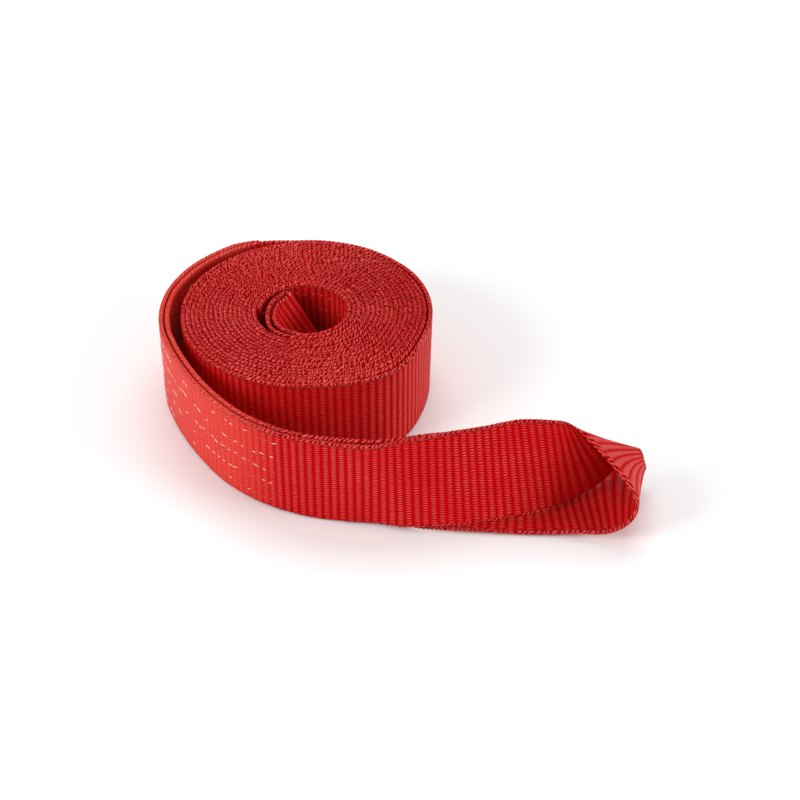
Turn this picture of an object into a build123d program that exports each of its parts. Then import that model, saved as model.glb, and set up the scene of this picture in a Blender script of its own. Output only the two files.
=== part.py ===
from build123d import *
import os
from math import cos, pi, radians, sin

# Flat web sling, coiled on edge. Millimetres, +Z up. The origin is on the coil's axis, on the surface it
# stands on. The strap is followed from the coil's outermost tight turn, at nine o'clock seen from above:
# inwards, clockwise, it winds to the inner eye; outwards, anticlockwise, it makes one loose turn, is sewn to
# its own tail at the outer splice, and ends in the outer eye.

# ---- webbing ----
WEB_WIDTH = 50.0
WEB_THICK = 2.4
MID_HEIGHT = WEB_WIDTH / 2

# ---- coil ----
COIL_RADIUS = 64.8            # centre of the web, outermost tight turn, nine o'clock
TURN_PITCH = 2.5              # one turn to the next
SINGLE_HALF_TURNS = 30        # half turns of single web, ending at nine o'clock
EYE_CLEARANCE = 0.2           # between the inner plies' ends and the inner eye's legs

# ---- loose turn ----
LOOSE_FRONT_RADIUS = 65.7
LOOSE_BACK_RADIUS = 66.8
LEAD_OFF = 15.8               # straight stretch before the strap leaves the coil

# ---- outer splice: arcs of the strap's outer face, as (radius, turn in degrees) ----
BREAKAWAY = (51.4, 35)        # bends away from the coil
LEFT_BEND = (75.5, 75)
FRONT_RUN = (190.0, 18)
THROAT_BEND = (95.0, 44)
TAIL_START_TURN = 20          # the tail's cut end lies this far before the end of the breakaway bend
PLY_GAP = 0.8                 # slack between the two sewn plies
TAIL_INSET = WEB_THICK / 2
BODY_INSET = TAIL_INSET + WEB_THICK + PLY_GAP

# ---- stitching ----
STITCH_ROWS = 5
ROW_SPACING = 9.0
STITCH_LONG = 3.2
STITCH_THREAD = 0.8
STITCH_PROUD = 0.3            # thread stands this far out of each face

# ---- flexing places, modelled as upright hinges ----
HINGE_GAP = 0.3               # between the strap's rounded end and the piece before it
EYE_GAP = 2.4                 # between the splice and the eye's two legs
EYE_LIFT = 0.8                # the eye's ends ride this far above the plies

# ---- outer eye: centre of the web, and the direction from its upper edge across to its lower edge ----
OUTER_EYE = [
    ((29.0, -114.5, 25.8), (0.00, 0.00, -1.00)),
    ((39.5, -115.2, 26.0), (0.00, -0.02, -1.00)),
    ((48.5, -115.9, 26.8), (0.03, -0.12, -0.99)),
    ((57.5, -116.6, 28.2), (0.04, -0.20, -0.98)),
    ((67.0, -116.2, 29.2), (0.04, -0.26, -0.97)),
    ((77.3, -114.5, 29.4), (0.06, -0.31, -0.95)),
    ((88.5, -111.9, 29.2), (0.08, -0.35, -0.93)),
    ((100.8, -108.7, 29.3), (0.10, -0.36, -0.93)),
    ((114.6, -105.7, 29.9), (0.15, -0.30, -0.94)),
    ((130.0, -103.2, 30.7), (0.19, -0.09, -0.98)),
    ((143.4, -98.6, 34.0), (0.44, 0.22, -0.87)),
    ((153.9, -93.8, 35.4), (0.62, 0.49, -0.64)),
    ((163.6, -99.3, 27.0), (0.43, 0.71, -0.57)),
    ((169.2, -106.7, 17.6), (0.17, 0.91, -0.37)),
    ((157.0, -106.5, 9.2), (-0.02, 0.99, -0.07)),
    ((138.0, -102.4, 4.6), (-0.11, 0.99, 0.00)),
    ((120.5, -100.0, 4.2), (-0.05, 0.99, 0.09)),
    ((106.1, -99.9, 7.0), (0.09, 0.97, 0.21)),
    ((95.0, -101.0, 11.5), (0.19, 0.90, 0.38)),
    ((84.6, -103.2, 16.6), (0.24, 0.78, 0.58)),
    ((74.0, -106.4, 20.9), (0.23, 0.61, 0.76)),
    ((62.9, -109.6, 23.7), (0.18, 0.40, 0.90)),
    ((51.7, -111.0, 25.2), (0.09, 0.16, 0.98)),
    ((40.1, -110.9, 25.8), (0.00, 0.01, 1.00)),
    ((29.0, -110.4, 25.7), (0.00, 0.00, 1.00)),
]

# ---- inner eye, lying slantwise in the coil's core ----
INNER_EYE = [
    ((-5.6, -24.2, 25.2), (0.00, 0.00, -1.00)),
    ((-9.8, -18.6, 25.4), (0.16, 0.05, -0.98)),
    ((-10.8, -8.0, 25.8), (0.36, 0.05, -0.93)),
    ((-9.4, 1.5, 26.6), (0.44, -0.02, -0.90)),
    ((-6.2, 8.6, 27.2), (0.47, -0.08, -0.88)),
    ((-1.4, 13.6, 27.6), (0.49, -0.12, -0.86)),
    ((0.6, 14.6, 27.8), (0.50, -0.13, -0.86)),
    ((2.2, 13.8, 27.8), (0.50, -0.12, -0.86)),
    ((1.6, 11.6, 27.6), (0.50, -0.10, -0.86)),
    ((-3.0, 6.4, 27.2), (0.48, -0.06, -0.87)),
    ((-5.9, 0.0, 26.6), (0.44, 0.00, -0.90)),
    ((-7.2, -8.0, 25.8), (0.36, 0.05, -0.93)),
    ((-6.8, -16.0, 25.3), (0.16, 0.05, -0.98)),
    ((-4.2, -21.0, 25.2), (0.00, 0.00, -1.00)),
]

os.makedirs("parts", exist_ok=True)


def wind(start, heading, bends):
    """Draws tangent arcs one after another; each bend is (radius, turn), and a right turn is negative."""
    for radius, turn in bends:
        bend = JernArc(start=start, tangent=heading, radius=radius, arc_size=turn)
        start = bend @ 1
        heading = bend % 1
    return start, heading


def half_turns(first_radius, step, count):
    """The bends of a clockwise spiral: each half turn is tighter than the one before by step."""
    return [(first_radius - k * step, -180) for k in range(count)]


def eye_sections(stations, heading):
    """Sections of the web along an eye, one plane at each station. It sets out along heading and comes back."""
    centres = [Vector(*centre) for centre, across in stations]
    planes = []
    for k, (centre, across) in enumerate(stations):
        along = centres[min(k + 1, len(centres) - 1)] - centres[max(k - 1, 0)]
        if k == 0:
            along = heading
        if k == len(stations) - 1:
            along = heading * -1
        width_way = Vector(*across).normalized()
        face_way = along.cross(width_way).normalized()
        planes.append(Plane(centres[k], x_dir=width_way, z_dir=width_way.cross(face_way)))
    return planes


# ---- the coil's tight turns ----
SINGLE_FIRST = COIL_RADIUS - TURN_PITCH / 4
SINGLE_BENDS = half_turns(SINGLE_FIRST, TURN_PITCH / 2, SINGLE_HALF_TURNS)

with BuildPart() as coil_web:
    with BuildSketch():
        with BuildLine():
            coil_end, coil_heading = wind((-COIL_RADIUS, 0), (0, 1), SINGLE_BENDS)
        trace(line_width=WEB_THICK)
    extrude(amount=WEB_WIDTH)

# ---- inner splice, three quarters of a turn: the body ply, and the tail ply sewn inside it ----
INNER_BODY_BENDS = half_turns(-coil_end.X - TURN_PITCH / 4, TURN_PITCH / 2, 1)
INNER_BODY_BENDS.append((-coil_end.X - 3 * TURN_PITCH / 4, -90))
INNER_TAIL_BENDS = [(radius - TURN_PITCH, turn) for radius, turn in INNER_BODY_BENDS]

with BuildPart() as inner_splice_body_ply:
    with BuildSketch():
        with BuildLine():
            inner_body_end, _ = wind(coil_end, coil_heading, INNER_BODY_BENDS)
        trace(line_width=WEB_THICK)
    extrude(amount=WEB_WIDTH)

with BuildPart() as inner_splice_tail_ply:
    with BuildSketch():
        with BuildLine():
            inner_tail_start = coil_end + Vector(TURN_PITCH, 0)
            inner_tail_end, _ = wind(inner_tail_start, coil_heading, INNER_TAIL_BENDS)
        trace(line_width=WEB_THICK)
    extrude(amount=WEB_WIDTH)

# ---- the loose outer turn, still part of the coil ----
with BuildPart() as loose_turn_web:
    with BuildSketch():
        with BuildLine():
            loose_bends = [(LOOSE_FRONT_RADIUS, 180), (LOOSE_BACK_RADIUS, 90)]
            loose_end, loose_heading = wind((-COIL_RADIUS, 0), (0, -1), loose_bends)
            hinge_at = loose_end + loose_heading * LEAD_OFF
            Line(loose_end, hinge_at - loose_heading * (WEB_THICK / 2 + HINGE_GAP))
        trace(line_width=WEB_THICK)
    extrude(amount=WEB_WIDTH)

# ---- outer splice ----
SPLICE_FACE = [BREAKAWAY, LEFT_BEND, FRONT_RUN, THROAT_BEND]
BODY_BENDS = [(radius - BODY_INSET, turn) for radius, turn in SPLICE_FACE]
TAIL_BENDS = [(radius - TAIL_INSET, turn) for radius, turn in SPLICE_FACE]
PLY_STEP = BODY_INSET - TAIL_INSET

with BuildPart() as outer_splice_body_ply:
    with BuildSketch():
        with BuildLine():
            body_end, throat_heading = wind(hinge_at, loose_heading, BODY_BENDS)
        trace(line_width=WEB_THICK)
        with Locations(hinge_at):
            Circle(WEB_THICK / 2)
    extrude(amount=WEB_WIDTH)

# The tail's cut end: on the breakaway bend's centre, one ply further out than the body ply.
breakaway_centre = hinge_at - Vector(0, BODY_BENDS[0][0])
cut_end_turn = BREAKAWAY[1] - TAIL_START_TURN
cut_end_angle = radians(90 + cut_end_turn)
cut_end = breakaway_centre + Vector(cos(cut_end_angle), sin(cut_end_angle)) * TAIL_BENDS[0][0]
cut_end_heading = Vector(-sin(cut_end_angle), cos(cut_end_angle))

with BuildPart() as outer_splice_tail_ply:
    with BuildSketch():
        with BuildLine():
            tail_bends = [(TAIL_BENDS[0][0], TAIL_START_TURN)] + TAIL_BENDS[1:]
            tail_end, _ = wind(cut_end, cut_end_heading, tail_bends)
        trace(line_width=WEB_THICK)
    extrude(amount=WEB_WIDTH)

# ---- stitching: staples of thread through both plies, in rows along the strap ----
ROW_HEIGHTS = [MID_HEIGHT + (row - (STITCH_ROWS - 1) / 2) * ROW_SPACING for row in range(STITCH_ROWS)]
OUTER_STITCH_DEPTH = 2 * WEB_THICK + PLY_GAP + 2 * STITCH_PROUD
STITCH_INSET = WEB_THICK + PLY_GAP / 2


def bend_centres(start, heading, bends):
    """Centre and first angle of each left-hand bend in a chain of tangent arcs."""
    found = []
    for radius, turn in bends:
        left = Vector(-heading.Y, heading.X)
        centre = start + left * radius
        first = Vector(1, 0).get_signed_angle(left * -1, Vector(0, 0, 1))
        found.append((centre, first))
        start = centre + (start - centre).rotate(Axis.Z, turn)
        heading = heading.rotate(Axis.Z, turn)
    return found


SEWN_TURNS = [LEFT_BEND[1], FRONT_RUN[1], THROAT_BEND[1] * 0.8]
SEWN_COUNTS = [15, 10, 10]
sewn_bends = list(zip(bend_centres(hinge_at, loose_heading, BODY_BENDS)[1:], SPLICE_FACE[1:]))

with BuildPart() as outer_splice_stitches:
    for ((centre, first), (radius, _)), turn, count in zip(sewn_bends, SEWN_TURNS, SEWN_COUNTS):
        for height in ROW_HEIGHTS:
            with Locations((centre.X, centre.Y, height)):
                with PolarLocations(radius - STITCH_INSET, count, first + 1, turn):
                    Box(OUTER_STITCH_DEPTH, STITCH_LONG, STITCH_THREAD)

# ---- inner splice stitching: flush with the body ply's outer face, proud of the tail ply's inner face ----
INNER_STITCH_DEPTH = WEB_THICK + TURN_PITCH + STITCH_PROUD
INNER_STITCH_RADIUS = INNER_TAIL_BENDS[0][0] - WEB_THICK / 2 - STITCH_PROUD + INNER_STITCH_DEPTH / 2
INNER_STITCH_COUNT = 15

with BuildPart() as inner_splice_stitches:
    for height in ROW_HEIGHTS:
        with Locations((coil_end.X + INNER_BODY_BENDS[0][0], 0, height)):
            with PolarLocations(INNER_STITCH_RADIUS, INNER_STITCH_COUNT, 8, 164):
                Box(INNER_STITCH_DEPTH, STITCH_LONG, STITCH_THREAD)

# ---- outer eye: leaves the tail ply, turns over, and comes back to the body ply ----
DOWN = (0, 0, -1)
UP = (0, 0, 1)
eye_start = tail_end + throat_heading * EYE_GAP + Vector(0, 0, MID_HEIGHT + EYE_LIFT)
eye_finish = body_end + throat_heading * EYE_GAP + Vector(0, 0, MID_HEIGHT + EYE_LIFT)
OUTER_STATIONS = [(tuple(eye_start), DOWN)] + OUTER_EYE + [(tuple(eye_finish), UP)]

with BuildPart() as outer_eye_web:
    for plane in eye_sections(OUTER_STATIONS, throat_heading):
        with BuildSketch(plane):
            Rectangle(WEB_WIDTH, WEB_THICK)
    loft()

# ---- inner eye: leaves the body ply, folds over at the back of the core, and comes back to the tail ply ----
inner_start = inner_body_end + Vector(-EYE_CLEARANCE, EYE_CLEARANCE, MID_HEIGHT)
inner_finish = inner_tail_end + Vector(-EYE_CLEARANCE, 0, MID_HEIGHT)
INNER_STATIONS = [(tuple(inner_start), DOWN)] + INNER_EYE + [(tuple(inner_finish), DOWN)]

with BuildPart() as inner_eye_web:
    for plane in eye_sections(INNER_STATIONS, Vector(-1, 0)):
        with BuildSketch(plane):
            Rectangle(WEB_WIDTH, WEB_THICK)
    loft()

# ---- hand over, one file for each piece ----
coil_web.part.label = "coil_web"
export_step(coil_web.part, "parts/coil_web.step")
loose_turn_web.part.label = "loose_turn_web"
export_step(loose_turn_web.part, "parts/loose_turn_web.step")
inner_splice_body_ply.part.label = "inner_splice_body_ply"
export_step(inner_splice_body_ply.part, "parts/inner_splice_body_ply.step")
inner_splice_tail_ply.part.label = "inner_splice_tail_ply"
export_step(inner_splice_tail_ply.part, "parts/inner_splice_tail_ply.step")
inner_splice_stitches.part.label = "inner_splice_stitches"
export_step(inner_splice_stitches.part, "parts/inner_splice_stitches.step")
inner_eye_web.part.label = "inner_eye_web"
export_step(inner_eye_web.part, "parts/inner_eye_web.step")
outer_splice_body_ply.part.label = "outer_splice_body_ply"
export_step(outer_splice_body_ply.part, "parts/outer_splice_body_ply.step")
outer_splice_tail_ply.part.label = "outer_splice_tail_ply"
export_step(outer_splice_tail_ply.part, "parts/outer_splice_tail_ply.step")
outer_splice_stitches.part.label = "outer_splice_stitches"
export_step(outer_splice_stitches.part, "parts/outer_splice_stitches.step")
outer_eye_web.part.label = "outer_eye_web"
export_step(outer_eye_web.part, "parts/outer_eye_web.step")
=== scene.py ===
import math
import random

import bpy
import numpy as np
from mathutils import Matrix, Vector


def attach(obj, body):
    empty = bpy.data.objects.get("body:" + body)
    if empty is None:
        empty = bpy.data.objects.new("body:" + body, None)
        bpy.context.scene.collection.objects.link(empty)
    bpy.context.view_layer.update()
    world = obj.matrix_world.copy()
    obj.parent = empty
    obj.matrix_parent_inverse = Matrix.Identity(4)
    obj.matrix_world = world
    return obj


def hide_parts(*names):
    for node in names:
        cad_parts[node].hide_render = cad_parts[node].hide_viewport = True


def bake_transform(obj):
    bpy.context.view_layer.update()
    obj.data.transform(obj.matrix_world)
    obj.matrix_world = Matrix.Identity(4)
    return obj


# A flat web sling coiled on edge. Lengths are millimetres until a mesh is made, which is in metres. A strap
# is a tuple: its centres, the direction across its width at each centre, and the length up to each centre.

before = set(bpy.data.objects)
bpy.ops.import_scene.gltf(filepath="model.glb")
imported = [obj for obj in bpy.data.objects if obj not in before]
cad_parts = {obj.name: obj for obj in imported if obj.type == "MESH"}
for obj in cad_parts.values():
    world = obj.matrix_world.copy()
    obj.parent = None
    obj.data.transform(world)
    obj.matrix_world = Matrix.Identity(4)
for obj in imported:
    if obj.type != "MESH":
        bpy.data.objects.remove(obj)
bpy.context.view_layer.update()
scene = bpy.context.scene

# ---------------------------------------------------------------- sizes
MM = 0.001                       # metres in a millimetre
WIDTH, THICK, MID = 50.0, 2.4, 25.0
PITCH = 2.5                      # one turn of the coil to the next
RIB = 4.05                       # one rib of the weave to the next, along the strap
YARN = WIDTH / 38                # one yarn to the next, across the strap
STEP = RIB / 8                   # one ring of a strap's mesh to the next
CORD = 2.6                       # one twist of the bound edge to the next
EDGE_ROUND = 1.0                 # the rounded edge reaches this far in across the strap
CLEARANCE = 0.3                  # the free straps stand this far off the floor
DOWN, UP = (0.0, 0.0, -1.0), (0.0, 0.0, 1.0)

COIL_RADIUS = 64.8
TIGHT_HALF_TURNS = 30
COIL_CUTS = (0.0, 0.40, 0.72, 1.0)         # shares of the tight turns' length, where they are cut into pieces
CORE_RIB = 0.34                  # ribs are deeper in the core, where the web bends most
BACK_RADIUS, SIDE_RADIUS = 65.7, 66.8      # the loose turn's first half, and its next quarter
LEAD = 15.8                      # straight stretch from the coil to the hinge
BODY_BENDS = [(47.0, 35), (71.1, 75), (185.6, 18), (90.6, 44)]   # the body ply's radii and degrees
PLY_OUT = 3.2                    # the tail ply runs this far outside the body ply
TAIL_TURN = 20                   # degrees of the first bend that the tail ply covers
LEAD_BEFORE, LEAD_AFTER = 14.0, 12.0       # the flexing stretch's reach on each side of the hinge
SEWN_AFTER = 14.0                # the body ply is sewn from this far after the hinge
NECK = 26.0                      # the outer eye's piece takes over this far before the splice's end
NECK_FADE = 30                   # the stitching's pull on the ribs fades over this length before it

FACE_CELLS = 34                  # mesh cells across a face that is seen close up
CORE_CELLS = 20
EYE_CELLS = 40


# ---------------------------------------------------------------- routes
def follow(start, heading, bends, step=STEP):
    """Points, headings and lengths along tangent arcs (radius, turn) and straights (None, length)."""
    p, a, s = np.array(start, float), heading, 0.0
    pts, heads, lens = [p.copy()], [a], [0.0]
    for radius, turn in bends:
        length = turn if radius is None else abs(math.radians(turn)) * radius
        n = max(2, int(round(length / step)))
        for k in range(1, n + 1):
            if radius is None:
                q, b = p + np.array((math.cos(a), math.sin(a))) * length * k / n, a
            else:
                way = math.copysign(1.0, turn)
                centre = p + way * radius * np.array((-math.sin(a), math.cos(a)))
                b = a + math.radians(turn) * k / n
                q = centre + way * radius * np.array((math.sin(b), -math.cos(b)))
            pts.append(q)
            heads.append(b)
            lens.append(s + length * k / n)
        p, a, s = pts[-1], heads[-1], lens[-1]
    return np.array(pts), np.array(heads), np.array(lens)


def upright(route):
    """An upright strap on a plan route."""
    pts, _, lens = route
    centres = np.column_stack((pts, np.full(len(pts), MID)))
    return centres, np.tile(DOWN, (len(centres), 1)).astype(float), lens


def read(at, lengths, values):
    """Rows of values, read at places along a strap."""
    return np.column_stack([np.interp(at, lengths, values[:, k]) for k in range(3)])


def cut(strap, low, high):
    """The stretch of a strap between two lengths."""
    centres, across, lengths = strap
    between = lengths[(lengths > low + 0.05) & (lengths < high - 0.05)]
    at = np.concatenate(([low], between, [high]))
    return read(at, lengths, centres), read(at, lengths, across), at


def lengths_along(points):
    """The length along a polyline up to each of its points."""
    return np.concatenate(([0.0], np.cumsum(np.linalg.norm(np.diff(points, axis=0), axis=1))))


def spline(t, values, at):
    """Natural cubic spline through values at t, read at the places in at."""
    n, h = len(t), np.diff(t)
    m = np.zeros((n, n))
    r = np.zeros((n, values.shape[1]))
    m[0, 0] = m[-1, -1] = 1.0
    for k in range(1, n - 1):
        m[k, k - 1], m[k, k], m[k, k + 1] = h[k - 1], 2 * (h[k - 1] + h[k]), h[k]
        r[k] = 6 * ((values[k + 1] - values[k]) / h[k] - (values[k] - values[k - 1]) / h[k - 1])
    d2 = np.linalg.solve(m, r)
    i = np.clip(np.searchsorted(t, at) - 1, 0, n - 2)
    a, b, hh = (t[i + 1] - at)[:, None], (at - t[i])[:, None], h[i][:, None]
    return (d2[i] * a ** 3 + d2[i + 1] * b ** 3) / (6 * hh) + (values[i] / hh - d2[i] * hh / 6) * a \
        + (values[i + 1] / hh - d2[i + 1] * hh / 6) * b


def through(stations):
    """A strap that runs smoothly through stations of (centre, across)."""
    centres = np.array([centre for centre, _ in stations], float)
    across = np.array([way for _, way in stations], float)
    across /= np.linalg.norm(across, axis=1)[:, None]
    t = lengths_along(centres)
    fine = np.linspace(0, t[-1], 3000)
    fine_centres = spline(t, centres, fine)
    fine_across = spline(t, across, fine)
    lengths = lengths_along(fine_centres)
    rings = int(round(lengths[-1] / STEP / 8)) * 8
    at = np.linspace(0, lengths[-1], rings + 1)
    across = read(at, lengths, fine_across)
    across /= np.linalg.norm(across, axis=1)[:, None]
    return read(at, lengths, fine_centres), across, at


# ---------------------------------------------------------------- the strap's surface
def profile(cells):
    """Loop round the strap's section as (across, through): a face, a round edge, the other face, an edge."""
    inner, h = WIDTH / 2 - EDGE_ROUND, THICK / 2
    loop = [(inner * (2 * k / cells - 1), h) for k in range(cells + 1)]
    edge = [(inner + EDGE_ROUND * math.sin(a), h * math.cos(a)) for a in np.linspace(0, math.pi, 8)[1:-1]]
    loop += edge
    loop += [(inner * (1 - 2 * k / cells), -h) for k in range(cells + 1)]
    loop += [(-w, -t) for w, t in edge]
    return np.array(loop)


def arch(x):
    """Rounded rib: 1 on the crest, 0 in the valley, period 1."""
    return 1 - np.abs(np.sin(np.pi * x)) ** 3


def strap_mesh(name, strap, cells, phase=0.0, rib=0.14, shape=None, sewn=None, thin=None, skew=None,
               edge=0.16, wave=0.10):
    """A closed mesh of the strap with its ribs and its bound edges.

    phase is the length at its start, from which its ribs are counted, and rib is their depth. edge and wave
    are how far the bound edge twists out and sways. These are functions of the length: sewn is 1 where
    stitching flattens the ribs, thin is the share of the thickness that is left, and skew is how far the ribs
    slant. shape moves the finished points.
    """
    centres, across, lengths = strap
    along = np.gradient(centres, axis=0)
    along /= np.linalg.norm(along, axis=1)[:, None]
    out = np.cross(across, along)
    out /= np.linalg.norm(out, axis=1)[:, None]
    loop = profile(cells)
    rings, around = len(centres), len(loop)
    rib_at = (lengths + phase)[:, None] * np.ones((1, around))
    if skew is not None:
        rib_at = rib_at + skew(lengths)[:, None] * (0.5 + loop[None, :, 0] / WIDTH)
    w = np.ones((rings, 1)) * loop[None, :, 0]
    t = np.ones((rings, 1)) * loop[None, :, 1]

    # ribs, shallower near the edges; one face's ribs lie between the other's
    half_rib = np.where(t >= 0, 0.0, 0.5)
    near_edge = np.clip((np.abs(w) - 22.6) / 1.6, 0, 1)
    depth = rib * (1 - 0.55 * near_edge)
    if sewn is not None:
        depth = depth * (1 - 0.75 * sewn(lengths)[:, None])
    hump = arch(rib_at / RIB + half_rib)
    t2 = t - np.sign(t) * depth * (1 - hump) * np.clip(np.abs(t) / (THICK / 2), 0, 1)
    if thin is not None:
        drop = 2.6                         # a thinned end lies in against the ply beside it
        t2 = t2 * thin(lengths)[:, None] - drop * (1 - thin(lengths))[:, None]

    # the bound edge: a twist, on a slow sway in and out
    bound = np.clip((np.abs(w) - 23.9) / 0.8, 0, 1)
    twist = np.sin(2 * np.pi * (rib_at / CORD + np.sign(w) * t * 0.33))
    slow = 0.12 * np.sin(rib_at / 9.1 + 1.0) + 0.10 * np.sin(rib_at / 5.3)
    w2 = w + np.sign(w) * bound * (edge * twist - 0.25 + slow)
    t2 = t2 + bound * wave * (np.sin(2 * np.pi * rib_at / CORD + 1.0) + 0.6 * np.sin(rib_at / 1.9 + 0.4))

    xyz = centres[:, None, :] + across[:, None, :] * w2[:, :, None] + out[:, None, :] * t2[:, :, None]
    xyz = xyz.reshape(-1, 3)
    if shape is not None:
        xyz = shape(xyz, np.repeat(lengths, around))
    sewn_at = np.zeros(rings) if sewn is None else sewn(lengths)
    return strap_object(name, xyz, loop, rib_at, sewn_at)


def strap_object(name, xyz, loop, rib_at, sewn_at):
    """Makes the mesh object: side quads, two end caps, UVs along and across the strap in metres."""
    rings, around = rib_at.shape
    i, j = np.meshgrid(np.arange(rings - 1), np.arange(around), indexing="ij")
    j2 = (j + 1) % around
    corners = (i * around + j, i * around + j2, (i + 1) * around + j2, (i + 1) * around + j)
    quads = np.stack(corners, axis=-1).reshape(-1, 4)
    faces = [tuple(quad) for quad in quads.tolist()]
    faces.append(tuple(reversed(range(around))))
    faces.append(tuple((rings - 1) * around + k for k in range(around)))
    mesh = bpy.data.meshes.new(name)
    mesh.from_pydata((xyz * MM).tolist(), [], faces)
    mesh.validate()

    # across the strap, the UV runs on round the rounded edge; along it, one face's ribs are half a rib on
    w, t = loop[:, 0], loop[:, 1]
    past_face = np.abs(w) > WIDTH / 2 - EDGE_ROUND - 0.01
    across = np.where(past_face, np.sign(w) * (WIDTH / 2 + (THICK / 2 - np.sign(w) * t)), w)
    along = rib_at + np.where(t[None, :] < -0.01, RIB / 2, 0.0)
    v0, v1 = across[j.ravel()], across[j2.ravel()]
    u00, u10 = along[i.ravel(), j.ravel()], along[i.ravel() + 1, j.ravel()]
    u11, u01 = along[i.ravel() + 1, j2.ravel()], along[i.ravel(), j2.ravel()]
    # a quad between the two faces' UVs keeps to its first corner's face
    jump = np.abs(u01 - u00) > RIB / 4
    u01 = np.where(jump, u00, u01)
    u11 = np.where(jump, u10, u11)
    block = np.stack((u00, v0, u01, v1, u11, v1, u10, v0), axis=-1).reshape(-1, 2)
    data = np.zeros((len(mesh.loops), 2), np.float32)
    data[: len(block)] = block
    uv = mesh.uv_layers.new(name="UVMap")
    uv.data.foreach_set("uv", (data * MM).ravel())

    mesh.polygons.foreach_set("use_smooth", np.array([True] * len(quads) + [False, False]))
    if sewn_at.any():
        at = mesh.attributes.new("sewn", "FLOAT", "POINT")
        at.data.foreach_set("value", np.repeat(sewn_at, around).astype(np.float32))
    ob = bpy.data.objects.new(name, mesh)
    scene.collection.objects.link(ob)
    return ob


# ---------------------------------------------------------------- how the real coil departs from true circles
def near_angle(xyz, at, spread):
    """1 at an angle round the coil, in degrees, fading away on both sides."""
    x, y, _ = xyz.T
    off = (np.degrees(np.arctan2(y, x)) - at + 180) % 360 - 180
    return np.exp(-(off / spread) ** 2)


def bulge(xyz):
    """How far the coil's outside stands out at its front right."""
    return 4.8 * near_angle(xyz, -50, 20)


def moved(xyz, out, lift):
    """The points, moved outwards from the coil's axis and up."""
    x, y, z = xyz.T
    grow = 1 + out / np.hypot(x, y)
    return np.column_stack((x * grow, y * grow, z + lift))


def coil_shape(xyz, s):
    """The coil bulges at its front right, and its turns stand a little unevenly on their edges."""
    r = np.hypot(xyz[:, 0], xyz[:, 1])
    out = bulge(xyz) * np.clip((r - 22) / 44, 0, 1.1) ** 1.5
    lift = 0.45 + 0.25 * np.sin(s / 47.0 + 0.6) + 0.20 * np.sin(s / 19.3 + 2.0)
    return moved(xyz, out, lift)


def loose_shape(xyz, s):
    """The loose turn follows the bulge, and leans at the right, where nothing holds it."""
    lean = 1.2 * (xyz[:, 2] / WIDTH - 0.9) * near_angle(xyz, 4, 34)
    return moved(xyz, bulge(xyz) + lean, CLEARANCE)


def raised(xyz, s):
    """The free straps stand just off the floor."""
    return xyz + np.array((0, 0, CLEARANCE))


# ---------------------------------------------------------------- finishes
def calc(tree, op, a, b=None, clamp=False):
    """A Math node's output. a and b are numbers or sockets."""
    n = tree.nodes.new("ShaderNodeMath")
    n.operation = op
    n.use_clamp = clamp
    for k, v in enumerate((a, b)):
        if v is None:
            continue
        if isinstance(v, (int, float)):
            n.inputs[k].default_value = v
        else:
            tree.links.new(v, n.inputs[k])
    return n.outputs[0]


def blend_colour(tree, factor, a, b):
    """A colour Mix node's output. a and b are colours or sockets."""
    n = tree.nodes.new("ShaderNodeMix")
    n.data_type = "RGBA"
    tree.links.new(factor, n.inputs[0])
    for v, k in ((a, 6), (b, 7)):
        if isinstance(v, tuple):
            n.inputs[k].default_value = (*v, 1.0)
        else:
            tree.links.new(v, n.inputs[k])
    return n.outputs[2]


def noise(tree, vector, scale, detail, roughness):
    """A noise texture's value."""
    n = tree.nodes.new("ShaderNodeTexNoise")
    n.inputs["Scale"].default_value = scale
    n.inputs["Detail"].default_value = detail
    n.inputs["Roughness"].default_value = roughness
    tree.links.new(vector, n.inputs["Vector"])
    return n.outputs[0]


def stretched_noise(tree, vector, scale, detail):
    """Noise with its own scale on each axis."""
    stretch = tree.nodes.new("ShaderNodeMapping")
    stretch.inputs["Scale"].default_value = scale
    tree.links.new(vector, stretch.inputs[0])
    return noise(tree, stretch.outputs[0], 1.0, detail, 0.55)


def face_relief(t, u, v, sew, wander):
    """Height of a face: each rib is a column of yarn floats, a half step up or down from its neighbours."""
    ribs = calc(t, "MULTIPLY", u, 1 / MM / RIB)
    crest = calc(t, "ABSOLUTE", calc(t, "COSINE", calc(t, "MULTIPLY", ribs, math.pi)))
    nearest = calc(t, "ADD", ribs, 0.5)
    odd = calc(t, "MODULO", calc(t, "ABSOLUTE", calc(t, "FLOOR", nearest)), 2.0)
    slant = calc(t, "MULTIPLY", calc(t, "MULTIPLY", sew, 0.9), calc(t, "FRACT", nearest))
    step = calc(t, "ADD", calc(t, "MULTIPLY", odd, 0.5), slant)
    yarns = calc(t, "ADD", calc(t, "MULTIPLY", v, 1 / MM / YARN), step)
    yarns = calc(t, "ADD", yarns, wander)
    yarn = calc(t, "ABSOLUTE", calc(t, "SINE", calc(t, "MULTIPLY", yarns, math.pi)))
    flat = calc(t, "MULTIPLY", sew, 0.7)           # sewn down, the ribs almost vanish
    rib = calc(t, "MULTIPLY", calc(t, "POWER", crest, 0.6), calc(t, "SUBTRACT", 1.0, flat))
    rib = calc(t, "ADD", rib, calc(t, "MULTIPLY", flat, 0.85))
    return calc(t, "MULTIPLY", rib, calc(t, "POWER", yarn, 0.9))


def border_relief(t, u, across, wander):
    """Height of the bound edge: a slanting twist."""
    turn = calc(t, "ADD", calc(t, "MULTIPLY", u, 1 / MM / CORD), calc(t, "MULTIPLY", across, 0.42))
    turn = calc(t, "ADD", turn, calc(t, "MULTIPLY", wander, 2.2))
    wave = calc(t, "ABSOLUTE", calc(t, "SINE", calc(t, "MULTIPLY", turn, math.pi)))
    return calc(t, "POWER", wave, 1.2)


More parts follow.
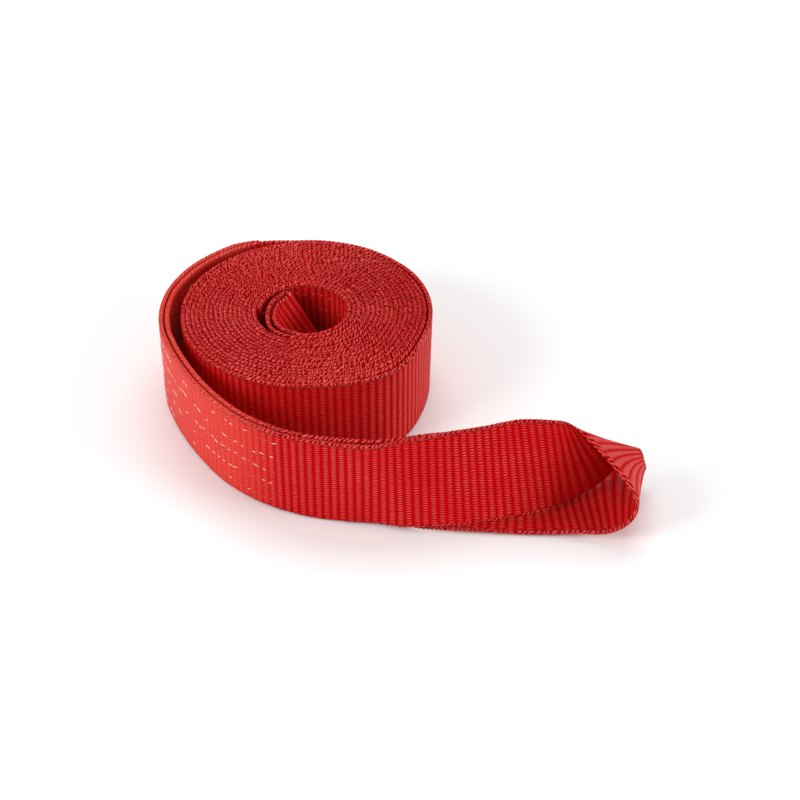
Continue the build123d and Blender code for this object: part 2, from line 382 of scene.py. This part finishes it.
def webbing():
    """Red ribbed webbing with a bound edge, drawn from the strap's own UVs, with painted shade in the valleys
    of its ribs and twist and a painted pink highlight on its crests.
    """
    # the two darkest colours are painted shade for the valleys of the ribs and of the edge's twist; red is
    # the web's own colour; the first pink is a painted highlight for the crests
    rib_valley_shade, twist_valley_shade, red = (0.46, 0.0003, 0.0016), (0.24, 0.0003, 0.0012), (0.68, 0.0020, 0.0050)
    painted_pink_highlight, pulled = (0.90, 0.120, 0.100), (0.92, 0.085, 0.055)
    mat = bpy.data.materials.new("red_webbing")
    mat.use_nodes = True
    t = mat.node_tree
    bsdf = t.nodes["Principled BSDF"]
    uv = t.nodes.new("ShaderNodeUVMap")
    uv.uv_map = "UVMap"
    axes = t.nodes.new("ShaderNodeSeparateXYZ")
    t.links.new(uv.outputs[0], axes.inputs[0])
    u, v = axes.outputs[0], axes.outputs[1]
    sewn = t.nodes.new("ShaderNodeAttribute")
    sewn.attribute_name = "sewn"
    sew = sewn.outputs["Fac"]
    place = t.nodes.new("ShaderNodeTexCoord")

    fibre = stretched_noise(t, uv.outputs[0], (900.0, 5200.0, 1.0), 3.0)     # streaks along the yarns
    cloud = stretched_noise(t, uv.outputs[0], (60.0, 90.0, 1.0), 2.0)        # slow patches in which the painted highlight shows
    grain = stretched_noise(t, uv.outputs[0], (620.0, 1500.0, 1.0), 1.0)     # ribs pulled about by stitches
    drift = stretched_noise(t, uv.outputs[0], (210.0, 300.0, 1.0), 1.0)      # yarns out of line
    wander = calc(t, "MULTIPLY", calc(t, "SUBTRACT", drift, 0.5), 0.9)
    patch = noise(t, place.outputs["Object"], 24.0, 1.0, 0.5)                # patches of painted highlight

    across = calc(t, "ABSOLUTE", calc(t, "MULTIPLY", v, 1 / MM))
    border = calc(t, "SUBTRACT", across, 23.6, clamp=True)
    face = calc(t, "MULTIPLY", face_relief(t, u, v, sew, wander), calc(t, "SUBTRACT", 1.0, border))
    relief = calc(t, "ADD", face, calc(t, "MULTIPLY", border_relief(t, u, across, wander), border))
    rough = calc(t, "MULTIPLY", grain, sew)

    level = calc(t, "ADD", calc(t, "MULTIPLY", relief, 0.85), calc(t, "MULTIPLY", fibre, 0.22))
    level = calc(t, "ADD", level, calc(t, "MULTIPLY", rough, 0.6))
    bump = t.nodes.new("ShaderNodeBump")
    bump.inputs["Strength"].default_value = 1.0
    bump.inputs["Distance"].default_value = 0.45 * MM
    t.links.new(level, bump.inputs["Height"])
    t.links.new(bump.outputs[0], bsdf.inputs["Normal"])

    # painted shade: the valleys of the ribs, yarns and edge twist take the dark colours, the crests the red
    tone = calc(t, "ADD", calc(t, "MULTIPLY", relief, 0.9), calc(t, "MULTIPLY", fibre, 0.4))
    tone = calc(t, "SUBTRACT", tone, 0.28, clamp=True)
    colour = blend_colour(t, tone, blend_colour(t, border, rib_valley_shade, twist_valley_shade), red)
    # painted highlight: pink on the crests, in slow patches and a little more on the bound edge
    peak = calc(t, "POWER", relief, 4.0)
    painted_highlight_share = calc(t, "ADD", calc(t, "MULTIPLY", cloud, 0.8), calc(t, "MULTIPLY", border, 0.07))
    painted_highlight_share = calc(t, "MULTIPLY", painted_highlight_share, calc(t, "MULTIPLY", patch, 2.0))
    colour = blend_colour(t, calc(t, "MULTIPLY", painted_highlight_share, peak, clamp=True), colour, painted_pink_highlight)
    colour = blend_colour(t, calc(t, "MULTIPLY", rough, 0.85), colour, pulled)
    t.links.new(colour, bsdf.inputs["Base Color"])
    t.links.new(calc(t, "MULTIPLY", peak, 0.48), bsdf.inputs["Specular IOR Level"])
    bsdf.inputs["Roughness"].default_value = 0.36
    return mat


def plain(name, colour, roughness, sheen=0.0):
    """A material of one colour."""
    mat = bpy.data.materials.new(name)
    mat.use_nodes = True
    bsdf = mat.node_tree.nodes["Principled BSDF"]
    bsdf.inputs["Base Color"].default_value = (*colour, 1.0)
    bsdf.inputs["Roughness"].default_value = roughness
    bsdf.inputs["Sheen Weight"].default_value = sheen
    return mat


RED = webbing()
CREAM = plain("cream_thread", (0.80, 0.58, 0.44), 0.55, 0.2)
FADED = plain("red_thread", (0.62, 0.05, 0.04), 0.55, 0.2)


def finish_strap(ob, nodes):
    ob.data.materials.append(RED)
    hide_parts(*nodes)


# ---------------------------------------------------------------- the tight turns, from nine o'clock inwards
half_turns = [(COIL_RADIUS - PITCH / 4 - k * PITCH / 2, -180) for k in range(TIGHT_HALF_TURNS)]
coil = upright(follow((-COIL_RADIUS, 0), math.pi / 2, half_turns))
coil_length = coil[2][-1]
for k, cells in enumerate((6, 4, 4)):      # the outer turns' faces are seen, so they have more cells
    turns = cut(coil, coil_length * COIL_CUTS[k], coil_length * COIL_CUTS[k + 1])
    ob = strap_mesh(f"coil_turns_{k + 1}", turns, cells, shape=coil_shape, edge=0.40, wave=0.32)
    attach(ob, "coil")
    finish_strap(ob, ["coil_web"])

# ---------------------------------------------------------------- the inner splice's plies
core_x = coil[0][-1][0]
inner_bends = [(-core_x - PITCH / 4, -180), (-core_x - 3 * PITCH / 4, -90)]
inner_body = upright(follow((core_x, 0), math.pi / 2, inner_bends))
inner_tail = upright(follow((core_x + PITCH, 0), math.pi / 2, [(r - PITCH, turn) for r, turn in inner_bends]))
for name, strap, node in (("inner_body_ply", inner_body, "inner_splice_body_ply"),
                          ("inner_tail_ply", inner_tail, "inner_splice_tail_ply")):
    ob = strap_mesh(name, strap, CORE_CELLS, phase=coil_length, shape=coil_shape, rib=CORE_RIB)
    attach(ob, "coil")
    finish_strap(ob, [node])

# ---------------------------------------------------------------- the inner eye, folded in the core
INNER_EYE = [
    ((-6.2, -24.2, 25.4), (0.02, 0.00, -1.00)), ((-10.2, -18.6, 25.6), (0.16, 0.05, -0.98)),
    ((-10.8, -8.0, 26.0), (0.36, 0.05, -0.93)), ((-9.4, 1.5, 26.8), (0.44, -0.02, -0.90)),
    ((-6.2, 8.6, 27.4), (0.47, -0.08, -0.88)), ((-1.4, 13.6, 27.8), (0.49, -0.12, -0.86)),
    ((0.9, 14.8, 28.0), (0.50, -0.13, -0.86)), ((2.7, 13.6, 28.0), (0.50, -0.12, -0.86)),
    ((1.9, 11.2, 27.8), (0.50, -0.10, -0.86)), ((-2.8, 6.0, 27.4), (0.48, -0.06, -0.87)),
    ((-5.7, -0.2, 26.8), (0.44, 0.00, -0.90)), ((-6.9, -8.0, 26.0), (0.36, 0.05, -0.93)),
    ((-6.6, -15.8, 25.5), (0.16, 0.05, -0.98)), ((-4.2, -20.6, 25.4), (0.00, 0.00, -1.00)),
]
GAP = 0.1                        # the eye's legs start this far from the plies' ends
inner_height = MID + 0.4
body_end, tail_end = inner_body[0][-1], inner_tail[0][-1]
inner_start = ((body_end[0] - GAP, body_end[1] + GAP, inner_height), DOWN)
inner_finish = ((tail_end[0] - GAP, tail_end[1], inner_height), DOWN)
inner_eye = through([inner_start] + INNER_EYE + [inner_finish])
ob = strap_mesh("inner_eye", inner_eye, CORE_CELLS, rib=CORE_RIB)
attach(ob, "coil")
finish_strap(ob, ["inner_eye_web"])

# ---------------------------------------------------------------- from nine o'clock outwards: the loose turn
loose_bends = [(BACK_RADIUS, 180), (SIDE_RADIUS, 90), (None, LEAD)]
outer_strap = upright(follow((-COIL_RADIUS, 0), -math.pi / 2, loose_bends + BODY_BENDS))
outer_length = outer_strap[2][-1]
hinge = math.pi * BACK_RADIUS + math.pi / 2 * SIDE_RADIUS + LEAD      # length where the strap leaves the coil
loose = cut(outer_strap, 0.0, hinge - LEAD_BEFORE)
ob = strap_mesh("loose_turn", loose, FACE_CELLS, shape=loose_shape)
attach(ob, "coil")
finish_strap(ob, ["loose_turn_web"])

lead = cut(outer_strap, hinge - LEAD_BEFORE, hinge + LEAD_AFTER)
ob = strap_mesh("lead_off", lead, FACE_CELLS, shape=raised)
finish_strap(ob, [])
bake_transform(ob)

# ---------------------------------------------------------------- the outer splice's plies
first_radius, first_turn = BODY_BENDS[0]
bend_x = 2 * BACK_RADIUS - COIL_RADIUS - SIDE_RADIUS - LEAD           # centre of the splice's first bend
bend_y = SIDE_RADIUS - first_radius
cut_angle = math.radians(90 + first_turn - TAIL_TURN)
tail_radius = first_radius + PLY_OUT
tail_start = (bend_x + tail_radius * math.cos(cut_angle), bend_y + tail_radius * math.sin(cut_angle))
tail_bends = [(tail_radius, TAIL_TURN)] + [(r + PLY_OUT, turn) for r, turn in BODY_BENDS[1:]]
tail_strap = upright(follow(tail_start, cut_angle + math.pi / 2, tail_bends))
tail_length = tail_strap[2][-1]


def body_sewn(s):
    """How far the stitching flattens the body ply: it comes in after the hinge and fades towards the neck."""
    starts = np.clip((s - hinge - SEWN_AFTER) / 12, 0, 1)
    return starts * np.clip((outer_length - NECK - s) / NECK_FADE, 0, 1)


def tail_sewn(s):
    """How far the stitching flattens the tail ply: from its cut end, fading towards the neck."""
    return np.clip((tail_length - NECK - s) / NECK_FADE, 0, 1)


def cut_end(s):
    """The tail's cut end thins out towards the ply it is sewn to."""
    return 0.4 + 0.6 * np.clip(s / 16, 0, 1)


body_ply = cut(outer_strap, hinge + LEAD_AFTER, outer_length - NECK)
ob = strap_mesh("outer_body_ply", body_ply, FACE_CELLS, shape=raised, sewn=body_sewn)
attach(ob, "splice")
finish_strap(ob, ["outer_splice_body_ply"])
tail_ply = cut(tail_strap, 0.0, tail_length - NECK)
ob = strap_mesh("outer_tail_ply", tail_ply, FACE_CELLS, shape=raised, sewn=tail_sewn, thin=cut_end)
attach(ob, "splice")
finish_strap(ob, ["outer_splice_tail_ply"])

# ---------------------------------------------------------------- the outer eye, turned over on itself
# Stations of (centre, across), fitted to the eye's outline in the photograph and then adjusted.
OUTER_EYE = [
    ((29.0, -114.5, 25.8), (0.00, 0.00, -1.00)), ((39.5, -115.2, 26.0), (0.00, -0.02, -1.00)),
    ((48.5, -115.9, 26.8), (0.03, -0.12, -0.99)), ((57.5, -116.6, 28.2), (0.04, -0.20, -0.98)),
    ((67.0, -116.2, 29.2), (0.04, -0.26, -0.97)), ((77.3, -114.5, 29.4), (0.06, -0.31, -0.95)),
    ((88.5, -111.9, 29.2), (0.08, -0.35, -0.93)), ((100.8, -108.7, 29.3), (0.10, -0.36, -0.93)),
    ((114.6, -105.7, 29.9), (0.15, -0.30, -0.94)), ((130.0, -103.2, 30.7), (0.19, -0.09, -0.98)),
    ((143.4, -98.6, 34.0), (0.44, 0.22, -0.87)), ((153.9, -93.8, 35.4), (0.62, 0.49, -0.64)),
    ((163.6, -99.3, 27.0), (0.43, 0.71, -0.57)), ((169.2, -106.7, 17.6), (0.17, 0.91, -0.37)),
    ((157.0, -106.5, 9.2), (-0.02, 0.99, -0.07)), ((138.0, -102.4, 4.6), (-0.11, 0.99, 0.00)),
    ((120.5, -100.0, 4.2), (-0.05, 0.99, 0.09)), ((106.1, -99.9, 7.0), (0.09, 0.97, 0.21)),
    ((95.0, -101.0, 11.5), (0.19, 0.90, 0.38)), ((84.6, -103.2, 16.6), (0.24, 0.78, 0.58)),
    ((74.0, -106.4, 20.9), (0.23, 0.61, 0.76)), ((62.9, -109.6, 23.7), (0.18, 0.40, 0.90)),
    ((51.7, -111.0, 25.2), (0.09, 0.16, 0.98)), ((40.1, -110.9, 25.8), (0.00, 0.01, 1.00)),
    ((29.0, -110.4, 25.7), (0.00, 0.00, 1.00)),
]


def neck_stations(strap, across):
    """Stations on a ply's last stretch, towards the eye."""
    centres, _, lengths = strap
    at = lengths[-1] - np.array((NECK, NECK / 2, 0.0))
    return [(tuple(centre), across) for centre in raised(read(at, lengths, centres), at)]


outer_eye = through(neck_stations(tail_strap, DOWN) + OUTER_EYE + neck_stations(outer_strap, UP)[::-1])
bight = outer_eye[2][-1] / 2


def bight_skew(s):
    """The ribs slant where the eye turns over."""
    return 9.0 * np.exp(-((s - bight) / 20) ** 2)


ob = strap_mesh("outer_eye", outer_eye, EYE_CELLS, phase=tail_length - NECK, skew=bight_skew)
finish_strap(ob, ["outer_eye_web"])
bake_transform(ob)


# ---------------------------------------------------------------- stitching
def thread_mesh(name, dashes):
    """Short rounded dashes of thread: (centre, along, out, half length, half width, height, material)."""
    verts, faces, mats = [], [], []
    rings, around = 5, 6
    for centre, along, out, half, wide, high, mat in dashes:
        centre, along, out = (np.array(x, float) for x in (centre, along, out))
        side = np.cross(along, out)
        base = len(verts)
        for i in range(rings):
            a = math.pi * (i + 0.5) / rings
            for j in range(around):
                b = 2 * math.pi * j / around
                verts.append(centre - along * half * math.cos(a) + side * wide * math.sin(a) * math.cos(b)
                             + out * high * math.sin(a) * math.sin(b))
        for i in range(rings - 1):
            ring, beyond = base + i * around, base + (i + 1) * around
            for j in range(around):
                j2 = (j + 1) % around
                faces.append((beyond + j, beyond + j2, ring + j2, ring + j))
                mats.append(mat)
        faces.append(tuple(base + j for j in range(around)))
        faces.append(tuple(base + (rings - 1) * around + j for j in reversed(range(around))))
        mats += [mat, mat]
    mesh = bpy.data.meshes.new(name)
    mesh.from_pydata([tuple(v * MM) for v in verts], [], faces)
    mesh.materials.append(CREAM)
    mesh.materials.append(FADED)
    mesh.polygons.foreach_set("material_index", mats)
    mesh.polygons.foreach_set("use_smooth", [True] * len(faces))
    mesh.update()
    ob = bpy.data.objects.new(name, mesh)
    scene.collection.objects.link(ob)
    return ob


ROW_HEIGHTS = [7.0, 16.0, 25.0, 34.0, 43.0]
THREAD_OUT = 1.12                # a dash's centre, from the middle of its ply
THREAD_HIGH = 0.42


def stitch_rows(strap, low, high, face, seed, cream=0.45):
    """Dashes along a ply's face (1 outer, -1 inner) in lengthwise rows. cream is the share left pale."""
    rng = random.Random(seed)
    centres, _, lengths = strap
    dashes = []
    for row in ROW_HEIGHTS:
        at = low + rng.random() * 3
        drift = rng.uniform(-0.4, 0.4)
        while at < high:
            p, q = read(np.array((at, at + 0.5)), lengths, centres)
            along = (q - p) / np.linalg.norm(q - p)
            out = np.cross(DOWN, along) * face
            z = row + drift + 0.9 * math.sin(at / 13.0 + row) + rng.uniform(-0.6, 0.6) + CLEARANCE
            pale = rng.random() < cream
            half = rng.uniform(0.9, 2.1) if pale else rng.uniform(0.6, 1.2)
            tip = along + np.array((0, 0, rng.uniform(-0.35, 0.35)))
            tip /= np.linalg.norm(tip)
            centre = (p[0] + out[0] * THREAD_OUT, p[1] + out[1] * THREAD_OUT, z)
            dashes.append((centre, tip, out, half, rng.uniform(0.18, 0.28), THREAD_HIGH, 0 if pale else 1))
            at += rng.uniform(3.2, 5.6)
    return dashes


def add_stitches(name, dashes, body, node):
    """Makes a piece of the dashes, and stands it for the CAD part's staples."""
    ob = thread_mesh(name, dashes)
    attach(ob, body)
    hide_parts(node)


TAIL_INSET, BODY_INSET = 18, 20  # the rows start this far after the tail's cut end, and after the hinge
STITCH_STOP = NECK + 2           # and end this far before the splice's end
INNER_ROWS = (5, 75)             # lengths along the inner tail ply between which it is sewn
outer_dashes = stitch_rows(tail_strap, TAIL_INSET, tail_length - STITCH_STOP, 1, seed=7)
body_stop = outer_length - STITCH_STOP
outer_dashes += stitch_rows(outer_strap, hinge + BODY_INSET, body_stop, -1, seed=8, cream=0.08)
add_stitches("outer_stitches", outer_dashes, "splice", "outer_splice_stitches")
inner_dashes = stitch_rows(inner_tail, *INNER_ROWS, 1, seed=9, cream=0.0)
add_stitches("inner_stitches", inner_dashes, "coil", "inner_splice_stitches")

# ---------------------------------------------------------------- floor, light, camera
bpy.ops.mesh.primitive_plane_add(size=8, location=(0, 0, -0.0002))
floor = bpy.context.object
floor.name = "floor"
floor.data.materials.append(plain("floor_paper", (0.97, 0.97, 0.97), 0.9))

world = bpy.data.worlds.new("studio")
scene.world = world
world.use_nodes = True
background = world.node_tree.nodes["Background"]
background.inputs["Color"].default_value = (1.0, 1.0, 1.0, 1.0)
background.inputs["Strength"].default_value = 0.42


def softbox(name, place, target, size, power):
    """A rectangular lamp at place, in metres, turned to the target."""
    light = bpy.data.lights.new(name, "AREA")
    light.shape = "RECTANGLE"
    light.size, light.size_y = size
    light.energy = power
    lamp = bpy.data.objects.new(name, light)
    scene.collection.objects.link(lamp)
    lamp.location = place
    way = Vector(target) - Vector(place)
    lamp.rotation_euler = way.to_track_quat("-Z", "Y").to_euler()


softbox("key_left", (-1.10, -0.66, 0.70), (0, -0.02, 0.02), (0.7, 0.7), 13)
softbox("fill_right", (1.25, -0.42, 0.50), (0.05, -0.05, 0.02), (0.6, 0.5), 9)
softbox("top_back", (0.1, 0.7, 1.3), (0.02, -0.02, 0.02), (1.2, 0.8), 9)

camera_data = bpy.data.cameras.new("camera")
camera_data.sensor_width = 36.0
camera_data.lens = 81.0
camera = bpy.data.objects.new("camera", camera_data)
scene.collection.objects.link(camera)
camera.location = (0.0505, -0.7845, 0.6015)
camera.rotation_euler = (math.radians(52.0), 0.0, 0.0)
scene.camera = camera
scene.view_settings.view_transform = "Standard"
